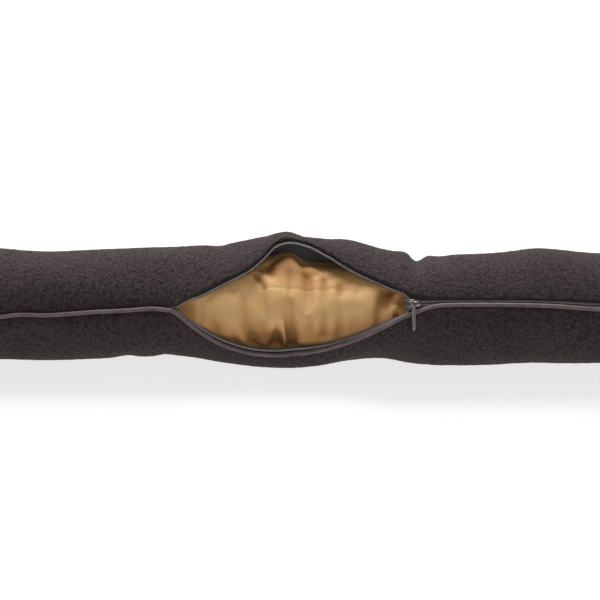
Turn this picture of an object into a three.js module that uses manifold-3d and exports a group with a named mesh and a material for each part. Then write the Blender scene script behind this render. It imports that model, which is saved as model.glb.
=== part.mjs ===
// A draught excluder: a long filled bag lying in a fleece cover. The cover is closed along its front by
// a piped seam with a zip in it, and the zip is drawn back so that the bag shows between the two lips.
// Millimetres. +X runs along the excluder, +Z is up, the zip faces -Y, and the floor is the plane z = 0.
import * as THREE from "three";
import { mergeVertices } from "three/addons/utils/BufferGeometryUtils.js";
import Module from "manifold-3d";

// Driving dimensions
const LENGTH = 900;
const HALF_WIDTH = 55; // of the oval section, across the floor
const HALF_HEIGHT = 48;
const AXIS_HEIGHT = 46; // the oval's lowest 2 mm are pressed flat by the floor
const END_ROUND = 34; // the length over which each end closes
const END_FULLNESS = 2.6; // 2 gives a round end, more a flatter one
const CLOTH = 2.5; // thickness of the fleece
const CLEARANCE = 0.3; // between neighbouring pieces
const GROOVE = 4; // how deep the sewn seam is drawn in
const GROOVE_GAP = 6; // lips this far apart are no longer drawn in
const PIPING_RADIUS = 2;
const PIPING_ROOM = 0.6; // between it and the cloth
const PIPING_SIDES = 8;
const PIPING_SINK = 0.4; // how far the piping's middle lies below the cloth's face
const PIPING_END = 421; // it stops short of each rounded end
const SLIT_START = -122;
const SLIT_END = 372;
const TAPE_START = -115;
const TAPE_END = 358;
const TAPE_THICKNESS = 0.9;
const TAPE_DEPTH = 3.7; // from the cloth's face to the face of the tape behind it
const TAPE_UNDER = 4.5; // how far each tape is sewn in under its lip
const CHAIN_WIDTH = 1.9; // one side of the zip's teeth
const CHAIN_THICKNESS = 2;
const UPPER_REACH = 3.6; // how far the open tapes stand out of their lips
const LOWER_REACH = 6.2;
const LOWER_SHARE = 0.6; // of a narrow slit, the share that the lower tape takes
const FACING_GAP = 24; // lips closer than this face each other, and past the next gap each lies its own way
const PARTED_GAP = 40;
const SLIDER_X = 101;
const CLOSING_START = 91; // the two chains run together between these places
const CLOSING_END = 105;
const BAG_SLACK = 1.8; // between the cover's inside and the bag
const CROWN_ANGLE = 118; // the top, as seen from the zip's side
const CROWN_SPREAD = 75;
const BELLY_ANGLE = -50; // the lower front
const BELLY_SPREAD = 50;
const LIP_SPREAD = 40; // how far round the cover a raised lip lifts it
const COVER_COLUMNS = 32;
const LIP_CROWDING = 0.55; // 0 spaces the columns evenly, near 1 crowds them at the lips
const BAG_COLUMNS = 26;
const BAG_FRONT = 35; // the middle of what shows of the bag, where its columns crowd
const BAG_CROWDING = 0.45;

// How the filled length lies. At each place along it: how far its axis sways to the back, and how far
// its crown and its belly swell past the plain oval.
const BODY = [
  { x: -450, sway: 2, crown: 0, belly: 0 },
  { x: -340, sway: 1, crown: 2, belly: 1 },
  { x: -275, sway: 0, crown: 1, belly: 1 },
  { x: -215, sway: 0, crown: -2, belly: 1 },
  { x: -150, sway: 0, crown: 2, belly: -2 },
  { x: -105, sway: 0, crown: 2, belly: -2 },
  { x: -70, sway: -1, crown: 5, belly: 4 },
  { x: -35, sway: -2, crown: 13, belly: 7 },
  { x: -9, sway: -3, crown: 17, belly: 8 },
  { x: 15, sway: -4, crown: 12.5, belly: 6 },
  { x: 45, sway: -5.5, crown: 11, belly: 0 },
  { x: 75, sway: -8, crown: 5, belly: -3 },
  { x: 100, sway: -9.5, crown: 1, belly: -1 },
  { x: 140, sway: -10, crown: 0, belly: 2 },
  { x: 185, sway: -10, crown: 2, belly: 1 },
  { x: 220, sway: -10, crown: 6, belly: 0 },
  { x: 275, sway: -10, crown: 1, belly: 0 },
  { x: 350, sway: -8, crown: 3, belly: 1 },
  { x: 450, sway: -6, crown: 0, belly: 0 },
];

// The sewn seam's angle, measured in degrees upwards from the front, either side of the slit.
const SEAM = [
  { x: -450, angle: 14 },
  { x: -275, angle: 15.5 },
  { x: -220, angle: 17 },
  { x: -183, angle: 21.5 },
  { x: -140, angle: 25 },
  { x: -122, angle: 24 },
  { x: 372, angle: 31 },
  { x: 450, angle: 30 },
];

// The slit's two lips: each cloth edge's angle, and how far it stands off the swollen oval.
const LIPS = [
  { x: -122, upper: 24, upperLift: 0, lower: 24, lowerLift: 0 },
  { x: -115, upper: 28, upperLift: 0.5, lower: 17, lowerLift: 0.5 },
  { x: -101, upper: 33.5, upperLift: 1.5, lower: 6, lowerLift: 1.5 },
  { x: -87, upper: 40, upperLift: 2, lower: -5, lowerLift: 2 },
  { x: -69, upper: 50.5, upperLift: 3, lower: -16.5, lowerLift: 2.5 },
  { x: -46, upper: 64, upperLift: 4, lower: -24, lowerLift: 3 },
  { x: -32, upper: 79, upperLift: 4.5, lower: -24.5, lowerLift: 3 },
  { x: -22, upper: 93, upperLift: 3.5, lower: -24, lowerLift: 3 },
  { x: -9, upper: 98, upperLift: 3, lower: -21.5, lowerLift: 3 },
  { x: 9, upper: 95, upperLift: 4, lower: -19, lowerLift: 3 },
  { x: 23, upper: 86, upperLift: 4.5, lower: -15, lowerLift: 3 },
  { x: 46, upper: 70.5, upperLift: 3.5, lower: -5, lowerLift: 3 },
  { x: 73, upper: 57.5, upperLift: 2.5, lower: 9, lowerLift: 2.5 },
  { x: 92, upper: 48, upperLift: 2, lower: 20, lowerLift: 2 },
  { x: 103, upper: 43, upperLift: 1, lower: 24.5, lowerLift: 1.5 },
  { x: 115, upper: 41, upperLift: 0.5, lower: 29, lowerLift: 1 },
  { x: 130, upper: 40.5, upperLift: 0, lower: 31.5, lowerLift: 0.5 },
  { x: 215, upper: 40, upperLift: 0, lower: 31, lowerLift: 0.5 },
  { x: 275, upper: 37, upperLift: 0, lower: 27, lowerLift: 0.5 },
  { x: 340, upper: 36, upperLift: 0, lower: 27.5, lowerLift: 0.5 },
  { x: 362, upper: 33.5, upperLift: 0, lower: 29, lowerLift: 0 },
  { x: 372, upper: 31, upperLift: 0, lower: 31, lowerLift: 0 },
];

// Creases and lumps, as soft troughs (depth below 0) and ridges, along in mm and around in degrees.
const COVER_FOLDS = [
  { x: 107, angle: 114, depth: -8, along: 7, around: 60 },
  { x: 128, angle: 112, depth: -2, along: 8, around: 45 },
  { x: 96, angle: 110, depth: 2, along: 8, around: 50 },
  { x: 3, angle: 120, depth: -2.5, along: 8, around: 30 },
  { x: -74, angle: 115, depth: -2, along: 9, around: 40 },
  { x: -158, angle: -55, depth: -2, along: 10, around: 40 },
  { x: -122, angle: -60, depth: -2, along: 9, around: 40 },
];
const BAG_FOLDS = [
  { x: 30, angle: 116, depth: -11, along: 40, around: 46 },
  { x: -13, angle: 106, depth: 11, along: 12, around: 50 },
  { x: -9, angle: 5, depth: -6, along: 7, around: 32 },
  { x: -20, angle: -10, depth: -5, along: 7, around: 18 },
  { x: -22, angle: 38, depth: 2.5, along: 8, around: 34 },
  { x: -41, angle: 30, depth: -3.5, along: 8, around: 36 },
  { x: -36, angle: 72, depth: -4, along: 8, around: 22 },
  { x: 8, angle: 48, depth: -3.5, along: 8, around: 36 },
  { x: 24, angle: 40, depth: -2, along: 8, around: 34 },
  { x: 77, angle: 38, depth: -5, along: 9, around: 26 },
  { x: 101, angle: 35, depth: -2.5, along: 16, around: 20 },
];
const SEAM_DENT = 5; // the bag gives way to the seam, the zip and what is sewn in behind them
const SEAM_DENT_SPREAD = 19; // degrees
const DENT_GAP = 20; // lips this far apart press on the bag no more, over the run-out below
const DENT_RUN_OUT = 14;

// The slider, in its own frame: x along the zip, y up the cover, z outwards.
const SLIDER = { length: 13, wide: 7.5, narrow: 5.5, plate: 1.3, channel: 3.3, post: 2, postLength: 2.4 };
const BRIDGE = { span: 10, height: 5, bar: 1.7 };
// The pull hangs from the bridge: an eye and a tapering tab, turned on edge so that the bar fits the eye.
const PULL = { eye: 3.5, hole: 2.5, length: 25, top: 4.6, tip: 3.8, thickness: 1.2, turn: 44, lean: 6 };

const MATERIALS = {
  fleece: { color: 0x3c3535, roughness: 0.95, metalness: 0 },
  casing: { color: 0xb58a58, roughness: 0.55, metalness: 0 },
  piping: { color: 0x4d4444, roughness: 0.5, metalness: 0 },
  tape: { color: 0x3a3230, roughness: 0.8, metalness: 0 },
  metal: { color: 0x6f6a68, roughness: 0.35, metalness: 0.9 },
};

const radians = THREE.MathUtils.degToRad;
const { clamp, lerp, smoothstep } = THREE.MathUtils;

// A column of a table at a place along x, on a smooth curve through the rows.
function read(table, column, x) {
  const last = table.length - 1;
  const after = table.findIndex((row) => row.x >= x);
  const b = after < 0 ? last : Math.max(after, 1);
  const slope = (i) => {
    const from = table[Math.max(i - 1, 0)];
    const to = table[Math.min(i + 1, last)];
    return (to[column] - from[column]) / (to.x - from.x);
  };
  const [p, q] = [table[b - 1], table[b]];
  const span = q.x - p.x;
  const u = clamp((x - p.x) / span, 0, 1);
  const bend = (u ** 3 - 2 * u ** 2 + u) * slope(b - 1) + (u ** 3 - u ** 2) * slope(b);
  const ease = u * u * (3 - 2 * u);
  return lerp(p[column], q[column], ease) + bend * span;
}

// How strongly something centred at one angle acts at another, falling to nothing at the spread.
function fade(angle, centre, spread) {
  const away = Math.abs(((angle - centre + 540) % 360) - 180);
  return away < spread ? Math.cos(((away / spread) * Math.PI) / 2) ** 2 : 0;
}

function folds(table, x, angle) {
  return table.reduce(
    (sum, f) => sum + f.depth * Math.exp(-(((x - f.x) / f.along) ** 2)) * fade(angle, f.angle, f.around),
    0,
  );
}

// The oval section's radius, and that of the section swollen and creased as it lies.
function plainRadius(angle) {
  const a = radians(angle);
  return 1 / Math.hypot(Math.cos(a) / HALF_WIDTH, Math.sin(a) / HALF_HEIGHT);
}
function lyingRadius(x, angle) {
  const crown = read(BODY, "crown", x) * fade(angle, CROWN_ANGLE, CROWN_SPREAD);
  const belly = read(BODY, "belly", x) * fade(angle, BELLY_ANGLE, BELLY_SPREAD);
  return plainRadius(angle) + crown + belly + folds(COVER_FOLDS, x, angle);
}

// Each end closes over its rounded length.
function endScale(x) {
  const into = clamp((Math.abs(x) - (LENGTH / 2 - END_ROUND)) / END_ROUND, 0, 1);
  return (1 - into ** END_FULLNESS) ** (1 / END_FULLNESS);
}

function place(x, angle, radius, floor) {
  const a = radians(angle);
  const y = read(BODY, "sway", x) - radius * Math.cos(a);
  return new THREE.Vector3(x, y, Math.max(AXIS_HEIGHT + radius * Math.sin(a), floor));
}

// The lips at a place along the cover, which meet in the seam outside the slit.
function lipsAt(x) {
  if (x <= SLIT_START || x >= SLIT_END) {
    const seam = read(SEAM, "angle", x);
    return { open: false, upper: seam, lower: seam, upperLift: 0, lowerLift: 0, gap: 0 };
  }
  const at = Object.fromEntries(Object.keys(LIPS[0]).map((column) => [column, read(LIPS, column, x)]));
  const gap = radians(at.upper - at.lower) * lyingRadius(x, (at.upper + at.lower) / 2);
  return { ...at, open: true, gap };
}

// A share of the way round, moved towards the start or the end of it.
function crowded(share, strength) {
  return share - (strength * Math.sin(2 * Math.PI * share)) / (2 * Math.PI);
}

// One section of the cover's face, from the upper lip over the top, down the back and under to the lower.
function coverSection(x) {
  const lips = lipsAt(x);
  const drawnIn = GROOVE * Math.max(0, 1 - lips.gap / GROOVE_GAP);
  return Array.from({ length: COVER_COLUMNS + 1 }, (_, j) => {
    const angle = lerp(lips.upper, lips.lower + 360, crowded(j / COVER_COLUMNS, LIP_CROWDING));
    const lift =
      lips.upperLift * fade(angle, lips.upper, LIP_SPREAD) +
      lips.lowerLift * fade(angle, lips.lower, LIP_SPREAD);
    const edge = j === 0 || j === COVER_COLUMNS ? drawnIn : 0;
    return place(x, angle, (lyingRadius(x, angle) + lift - edge) * endScale(x), 0);
  });
}

// Places along the length where sections are taken, closer in the middle, where the cover is open.
function stationList() {
  const half = LENGTH / 2;
  const closer = 8;
  const wider = 24;
  const closest = 4;
  const endPlaces = [0, 0.5, 2, 6, 13, 22, END_ROUND];
  const middle = 152;
  const slit = [SLIT_START, SLIT_START + 3, TAPE_START, TAPE_END, SLIT_END - 9, SLIT_END - 4, SLIT_END];
  const kept = [...slit, -PIPING_END, PIPING_END];
  endPlaces.forEach((d) => kept.push(-half + d, half - d));
  const others = [];
  for (let x = -middle; x <= middle; x += closer) others.push(x);
  for (let x = middle + wider; x < half - END_ROUND; x += wider) others.push(x, -x);
  const roomy = (x) => kept.every((place) => Math.abs(x - place) >= closest);
  return [...kept, ...others.filter(roomy)].sort((a, b) => a - b);
}
const STATIONS = stationList();
const SECTIONS = STATIONS.map(coverSection);

// Collects points and triangles into one closed geometry.
function mesher() {
  const points = [];
  const triangles = [];
  return {
    point: (p) => points.push(p) - 1,
    quad(a, b, c, d) {
      if (a !== b && b !== d && a !== d) triangles.push([a, b, d]);
      if (b !== c && c !== d && b !== d) triangles.push([b, c, d]);
    },
    triangle: (a, b, c) => triangles.push([a, b, c]),
    geometry() {
      const volume = triangles.reduce((sum, [a, b, c]) => {
        return sum + points[a].dot(points[b].clone().cross(points[c]));
      }, 0);
      const facing = volume < 0 ? triangles.map(([a, b, c]) => [a, c, b]) : triangles;
      return new THREE.BufferGeometry().setFromPoints(points).setIndex(facing.flat());
    },
  };
}

// The cover: a sheet with a face and an inside, joined round the slit's edge.
function coverGeometry() {
  const mesh = mesher();
  const last = STATIONS.length - 1;
  const normal = (i, j) => {
    if (i === 0 || i === last) return new THREE.Vector3(Math.sign(STATIONS[i]), 0, 0);
    const open = lipsAt(STATIONS[i]).open;
    const before = j > 0 ? j - 1 : open ? 0 : COVER_COLUMNS - 1;
    const after = j < COVER_COLUMNS ? j + 1 : open ? COVER_COLUMNS : 1;
    const along = SECTIONS[i + 1][j].clone().sub(SECTIONS[i - 1][j]);
    const around = SECTIONS[i][after].clone().sub(SECTIONS[i][before]);
    return along.cross(around).normalize();
  };
  const layer = (offset) =>
    SECTIONS.map((section, i) => {
      const closed = !lipsAt(STATIONS[i]).open;
      const row = [];
      section.forEach((p, j) => {
        const shared = (i === 0 || i === last) && j > 0;
        const wraps = closed && j === COVER_COLUMNS;
        const at = p.clone().addScaledVector(normal(i, j), -offset);
        row.push(shared || wraps ? row[0] : mesh.point(at));
      });
      return row;
    });
  const face = layer(0);
  const inside = layer(CLOTH);
  for (let i = 0; i < last; i++) {
    for (let j = 0; j < COVER_COLUMNS; j++) {
      mesh.quad(face[i][j], face[i + 1][j], face[i + 1][j + 1], face[i][j + 1]);
      mesh.quad(inside[i][j], inside[i][j + 1], inside[i + 1][j + 1], inside[i + 1][j]);
    }
    if (lipsAt(STATIONS[i]).open || lipsAt(STATIONS[i + 1]).open) {
      const edge = COVER_COLUMNS;
      mesh.quad(face[i][0], inside[i][0], inside[i + 1][0], face[i + 1][0]);
      mesh.quad(face[i][edge], face[i + 1][edge], inside[i + 1][edge], inside[i][edge]);
    }
  }
  return mesh.geometry();
}

// A solid through rings of points, its two end rings closed by flat caps, or by a point each.
function loft(rings, capOutline) {
  const mesh = mesher();
  const rows = rings.map((ring) => ring.map((p) => mesh.point(p)));
  rows.forEach((row, i) => {
    if (i === rows.length - 1) return;
    row.forEach((_, j) => {
      const k = (j + 1) % row.length;
      mesh.quad(row[j], rows[i + 1][j], rows[i + 1][k], row[k]);
    });
  });
  const [first, final] = [rows[0], rows.at(-1)];
  THREE.ShapeUtils.triangulateShape(capOutline, []).forEach((corners) => {
    const [a, b, c] = corners.sort((p, q) => p - q);
    mesh.triangle(first[a], first[b], first[c]);
    mesh.triangle(final[a], final[c], final[b]);
  });
  return mesh.geometry();
}

// The bag fills the cover, sinks away under the raised lips and is creased where it shows.
function bagRadius(x, angle) {
  const lips = lipsAt(x);
  const pressed = clamp(1 - (lips.gap - DENT_GAP) / DENT_RUN_OUT, 0, 1);
  const seam = (lips.upper + lips.lower) / 2;
  const dent = SEAM_DENT * pressed * fade(angle, seam, SEAM_DENT_SPREAD);
  const room = Math.min(plainRadius(angle), lyingRadius(x, angle)) - CLOTH - BAG_SLACK;
  return room - dent + folds(BAG_FOLDS, x, angle);
}
function bagGeometry() {
  const floor = CLOTH + 3 * CLEARANCE;
  const shorter = (LENGTH / 2 - CLOTH - BAG_SLACK) / (LENGTH / 2);
  const inner = STATIONS.slice(1, -1);
  const outline = Array.from({ length: BAG_COLUMNS }, (_, j) => {
    const a = (2 * Math.PI * j) / BAG_COLUMNS;
    return new THREE.Vector2(Math.cos(a), Math.sin(a));
  });
  const rings = inner.map((x) =>
    outline.map((_, j) => {
      const angle = BAG_FRONT + 360 * crowded(j / BAG_COLUMNS, BAG_CROWDING);
      return place(x * shorter, angle, bagRadius(x, angle) * endScale(x), floor);
    }),
  );
  return loft(rings, outline);
}

// A lip's frame in its own section. Under the cloth it follows the cloth; past the edge it points out
// into the slit, straight across to the other lip where the two are close.
function lipFrame(i, side) {
  const [edge, back] = side === "upper" ? [0, 2] : [COVER_COLUMNS, COVER_COLUMNS - 2];
  const origin = SECTIONS[i][edge];
  const lie = origin.clone().sub(SECTIONS[i][back]).normalize();
  const across = SECTIONS[i][COVER_COLUMNS - edge].clone().sub(origin);
  const parted = smoothstep(across.length(), FACING_GAP, PARTED_GAP);
  const out = across.normalize().lerp(lie, parted).normalize();
  const turn = side === "upper" ? -1 : 1;
  return (reach, height) => {
    const way = reach < 0 ? lie : out;
    const off = new THREE.Vector3(0, -way.z * turn, way.y * turn);
    return origin.clone().addScaledVector(way, reach).addScaledVector(off, height);
  };
}
function gapAt(i) {
  return SECTIONS[i][0].distanceTo(SECTIONS[i][COVER_COLUMNS]);
}

// The middle of the piping: in the groove of the sewn seam, and against the lower lip along the slit,
// as deep as the cloth on either side lets it lie.
function pipingCentre(i) {
  const [upper, lower] = [SECTIONS[i][0], SECTIONS[i][COVER_COLUMNS]];
  const run = SECTIONS[i + 1][COVER_COLUMNS].clone().sub(SECTIONS[i - 1][COVER_COLUMNS]);
  const rest = (PIPING_RADIUS + PIPING_ROOM) * (run.length() / run.x);
  const sides = [
    new THREE.Line3(upper, SECTIONS[i][1]),
    new THREE.Line3(lower, SECTIONS[i][COVER_COLUMNS - 1]),
  ];
  const near = new THREE.Vector3();
  const fits = (p) => sides.every((side) => side.closestPointToPoint(p, true, near).distanceTo(p) >= rest);
  const axis = new THREE.Vector3(STATIONS[i], read(BODY, "sway", STATIONS[i]), AXIS_HEIGHT);
  const outwards = lower.clone().sub(axis).normalize();
  const open = lipsAt(STATIONS[i]).open;
  const reach = Math.min(rest, gapAt(i) / 2);
  const at = open ? lipFrame(i, "lower") : (_, height) => lower.clone().addScaledVector(outwards, height);
  const step = 0.05;
  let height = -PIPING_SINK;
  while (!fits(at(reach, height))) height += step;
  return at(reach, height);
}
function pipingGeometry() {
  const used = STATIONS.map((x, i) => i).filter((i) => Math.abs(STATIONS[i]) <= PIPING_END);
  const centres = new Map(used.map((i) => [i, pipingCentre(i)]));
  const outline = Array.from({ length: PIPING_SIDES }, (_, k) => {
    const a = (2 * Math.PI * (k + 0.5)) / PIPING_SIDES;
    return new THREE.Vector2(Math.cos(a), Math.sin(a));
  });
  const rings = used.map((i) => {
    const centre = centres.get(i);
    const along = (centres.get(i + 1) ?? centre).clone().sub(centres.get(i - 1) ?? centre);
    const slant = new THREE.Vector2(along.y, along.z).divideScalar(along.x);
    const across = slant.length() > 0 ? slant.clone().normalize() : new THREE.Vector2(1, 0);
    const stretch = Math.hypot(1, slant.length()) - 1;
    return outline.map((p) => {
      const q = p.clone().addScaledVector(across, p.dot(across) * stretch).multiplyScalar(PIPING_RADIUS);
      return new THREE.Vector3(centre.x, centre.y + q.x, centre.z + q.y);
    });
  });
  return loft(rings, outline);
}

// How far each tape's toothed edge stands out of its lip: apart in the open slit, in mesh past the slider.
function tapeReach(i, side) {
  const closing = smoothstep(STATIONS[i], CLOSING_START, CLOSING_END);
  const lower = gapAt(i) * LOWER_SHARE;
  const upper = gapAt(i) - lower - CLEARANCE;
  if (side === "lower") return lerp(Math.min(LOWER_REACH, lower), lower, closing);
  return lerp(Math.min(UPPER_REACH, upper), upper, closing);
}
function tapeGeometry(side) {
  const used = STATIONS.map((x, i) => i).filter((i) => STATIONS[i] >= TAPE_START && STATIONS[i] <= TAPE_END);
  const face = -TAPE_DEPTH;
  const back = face - TAPE_THICKNESS;
  const chainBack = (face + back) / 2 - CHAIN_THICKNESS / 2;
  const outlineFor = (reach) => [
    [0, face],
    [-TAPE_UNDER, face],
    [-TAPE_UNDER, back],
    [0, back],
    [reach - CHAIN_WIDTH, back],
    [reach - CHAIN_WIDTH + 0.2, chainBack],
    [reach, chainBack],
    [reach, chainBack + CHAIN_THICKNESS],
    [reach - CHAIN_WIDTH + 0.2, chainBack + CHAIN_THICKNESS],
    [reach - CHAIN_WIDTH, face],
  ];
  const rings = used.map((i) => {
    const at = lipFrame(i, side);
    return outlineFor(tapeReach(i, side)).map(([reach, height]) => at(reach, height));
  });
  const capOutline = outlineFor(UPPER_REACH).map(([reach, height]) => new THREE.Vector2(reach, height));
  return loft(rings, capOutline);
}

const wasm = await Module();
wasm.setup();
function solid(geometry) {
  const bare = geometry.clone();
  bare.deleteAttribute("normal");
  bare.deleteAttribute("uv");
  const merged = mergeVertices(bare, 1e-4);
  const vertProperties = merged.attributes.position.array;
  const triVerts = new Uint32Array(merged.index.array);
  return new wasm.Manifold(new wasm.Mesh({ numProp: 3, vertProperties, triVerts }));
}
function geometryOf(manifold) {
  const { vertProperties, triVerts } = manifold.getMesh();
  const position = new THREE.BufferAttribute(vertProperties, 3);
  return new THREE.BufferGeometry().setAttribute("position", position).setIndex([...triVerts]);
}

// The bar of the slider's bridge, arched over its upper plate.
function bridgeArch() {
  const { span, height } = BRIDGE;
  const foot = SLIDER.channel / 2 + SLIDER.plate / 2;
  const half = [
    [span / 2, 0],
    [span * 0.46, height * 0.65],
    [span * 0.31, height],
  ];
  const points = half.map(([x, z]) => new THREE.Vector3(x, 0, foot + z));
  const mirrored = half.map(([x, z]) => new THREE.Vector3(-x, 0, foot + z)).reverse();
  return new THREE.CatmullRomCurve3([...points, ...mirrored]);
}

// The slider: two plates with the chain's channel between them, a post that parts the two chains on the
// open side, and an arched bridge.
function sliderGeometry() {
  const { length, wide, narrow, plate, channel, post, postLength } = SLIDER;
  const outline = new THREE.Shape();
  outline.moveTo(-length / 2, -wide / 2);
  outline.lineTo(0, -wide / 2);
  outline.lineTo(length / 2, -narrow / 2);
  outline.lineTo(length / 2, narrow / 2);
  outline.lineTo(0, wide / 2);
  outline.lineTo(-length / 2, wide / 2);
  outline.quadraticCurveTo(-length / 2 - 1.2, 0, -length / 2, -wide / 2);
  const plates = [channel / 2, -channel / 2 - plate].map((z) => {
    const options = { depth: plate, bevelEnabled: false, curveSegments: 6 };
    return solid(new THREE.ExtrudeGeometry(outline, options).translate(0, 0, z));
  });
  const postBox = new THREE.BoxGeometry(postLength, post, channel + plate);
  const bar = new THREE.Shape().absarc(0, 0, BRIDGE.bar / 2, 0, 2 * Math.PI);
  const options = { extrudePath: bridgeArch(), steps: 14, curveSegments: 4, bevelEnabled: false };
  const bridge = new THREE.ExtrudeGeometry(bar, options);
  return geometryOf(
    plates[0]
      .add(plates[1])
      .add(solid(postBox.translate(-length / 2 + postLength / 2, 0, 0)))
      .add(solid(bridge)),
  );
}

// The pull, flat in its own x-y plane with the eye's middle at the origin and the tab down -y.
function pullGeometry() {
  const { eye, hole, length, top, tip, thickness } = PULL;
  const shoulder = Math.asin(top / 2 / eye);
  const outline = new THREE.Shape();
  outline.absarc(0, 0, eye, -Math.PI / 2 + shoulder, (3 * Math.PI) / 2 - shoulder);
  outline.lineTo(-tip / 2, -length + 1);
  outline.lineTo(-tip / 2 + 1, -length);
  outline.lineTo(tip / 2 - 1, -length);
  outline.lineTo(tip / 2, -length + 1);
  outline.holes.push(new THREE.Path().absarc(0, 0, hole, 0, 2 * Math.PI, true));
  const options = { depth: thickness, bevelEnabled: false, curveSegments: 10 };
  return new THREE.ExtrudeGeometry(outline, options).translate(0, 0, -thickness / 2);
}

function piece(name, geometry, finish) {
  const mesh = new THREE.Mesh(geometry, new THREE.MeshStandardMaterial(finish));
  mesh.name = name;
  return mesh;
}

// The slider sits on the chain where its two sides come together, with its plates along the cover.
function sliderGroup() {
  const i = STATIONS.reduce((best, x, k) => {
    return Math.abs(x - SLIDER_X) < Math.abs(STATIONS[best] - SLIDER_X) ? k : best;
  }, 0);
  const chainMiddle = (k) => {
    const height = -TAPE_DEPTH - TAPE_THICKNESS / 2;
    return lipFrame(k, "lower")(gapAt(k) * LOWER_SHARE, height);
  };
  const up = SECTIONS[i][0].clone().sub(SECTIONS[i][COVER_COLUMNS]).normalize();
  const outwards = new THREE.Vector3(0, -up.z, up.y);
  const group = new THREE.Group();
  group.position.copy(chainMiddle(i)).setX(SLIDER_X);
  group.quaternion.setFromRotationMatrix(
    new THREE.Matrix4().makeBasis(new THREE.Vector3(1, 0, 0), up, outwards),
  );
  group.add(piece("zip_slider", sliderGeometry(), MATERIALS.metal));

  const pull = piece("zip_pull", pullGeometry(), MATERIALS.metal);
  const hang = 0.6; // the eye's middle, below the bar
  pull.position.copy(bridgeArch().getPoint(0.5)).add(new THREE.Vector3(0, -hang, 0));
  pull.rotation.set(radians(-PULL.lean), radians(PULL.turn), 0, "XYZ");
  group.add(pull);
  return group;
}

const excluder = new THREE.Group();
excluder.name = "draught_excluder";
excluder.add(
  piece("cover", coverGeometry(), MATERIALS.fleece),
  piece("inner_bag", bagGeometry(), MATERIALS.casing),
  piece("piping", pipingGeometry(), MATERIALS.piping),
  piece("zip_tape_upper", tapeGeometry("upper"), MATERIALS.tape),
  piece("zip_tape_lower", tapeGeometry("lower"), MATERIALS.tape),
  sliderGroup(),
);

export default excluder;
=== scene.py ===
import math

import bmesh
import bpy
import numpy as np
from mathutils import Matrix, Vector, noise


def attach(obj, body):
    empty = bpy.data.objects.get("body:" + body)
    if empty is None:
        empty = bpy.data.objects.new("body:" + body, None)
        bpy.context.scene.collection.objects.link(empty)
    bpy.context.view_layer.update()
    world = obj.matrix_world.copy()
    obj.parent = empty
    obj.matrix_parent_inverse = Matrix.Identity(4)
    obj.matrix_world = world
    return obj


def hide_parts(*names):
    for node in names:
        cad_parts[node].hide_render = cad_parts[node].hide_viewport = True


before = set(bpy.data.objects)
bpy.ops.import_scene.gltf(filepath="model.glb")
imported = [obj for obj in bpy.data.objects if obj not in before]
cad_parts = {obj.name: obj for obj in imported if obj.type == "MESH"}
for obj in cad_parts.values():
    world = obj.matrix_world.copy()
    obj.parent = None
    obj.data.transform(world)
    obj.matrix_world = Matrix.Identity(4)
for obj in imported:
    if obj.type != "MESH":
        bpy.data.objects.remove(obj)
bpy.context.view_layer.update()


# Fleece cover
# A length of charcoal fleece with a short pebbled pile, sewn into a tube with a piped seam along
# its front. The seam is left open for the zip, where the two turned lips gape, and each end of
# the tube is gathered shut. Sizes are in millimetres, angles in degrees upwards from the front.
MM = 0.001
HALF_LENGTH = 450
HALF_WIDTH = 55
HALF_HEIGHT = 48
AXIS_HEIGHT = 46
END_ROUND = 34
END_FULLNESS = 2.6
CLOTH = 2.5
GROOVE = 4
GROOVE_GAP = 6
GROOVE_REACH = 11
SLIT_START = -122
SLIT_END = 372
CROWN_ANGLE, CROWN_SPREAD = 118, 75
BELLY_ANGLE, BELLY_SPREAD = -50, 50
LIP_SPREAD = 40
FACE_COLUMNS = 168
INSIDE_COLUMNS = 32
LIP_CROWDING = 0.5
RIM_STEPS = 5
GATHERS = 15
GATHER_FROM, GATHER_TO, GATHER_DEPTH = 70, 6, 1.6
SLACK_SIZE, SLACK_DEPTH = 46, 1.1
ROUND_RADIUS = 50
RIM_GAP = 7
PUCKER_REACH, PUCKER_DEPTH = 15, 0.9
NUB_SIZE, CURL_SIZE, NUB_DEPTH = 5.2, 2.3, 0.4
INSIDE_GROOVE_REACH = 14
STRAIGHT_HALF, FINE_HALF = HALF_LENGTH - END_ROUND, 132
COARSE_STEP, FINE_STEP = 2.2, 1.6


def table(columns, *rows):
    """A table of measures, as one array for each of its columns."""
    return dict(zip(columns.split(), np.array(rows, float).T))


# How the filled tube lies: the sway of its axis to the back, and the swell of its crown and belly.
BODY = table(
    "x sway crown belly",
    (-450, 2, 0, 0), (-340, 1, 2, 2), (-275, 0, 1, 2.3), (-215, 0, -2, 2.3), (-150, 0, 2, 0),
    (-105, 0, 3, -0.5), (-70, -1, 6, 4), (-35, -2, 13, 7), (-9, -3, 17, 8), (15, -4, 12.5, 6),
    (45, -5.5, 11, 0), (75, -8, 4.2, -3), (100, -9.5, 0.4, 0), (140, -10, 0, 2), (185, -10, 2, 1),
    (220, -10, 6, 0), (275, -10, 1, 0), (350, -8, 3, 1), (450, -6, 0, 0),
)
# The angle of the front seam where it is closed.
SEAM = table(
    "x angle",
    (-450, 14), (-275, 16.5), (-250, 18.8), (-225, 18.4), (-183, 21.5), (-155, 23), (-140, 24.2),
    (-131, 24.6), (-122, 24), (372, 31), (450, 30),
)
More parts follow.
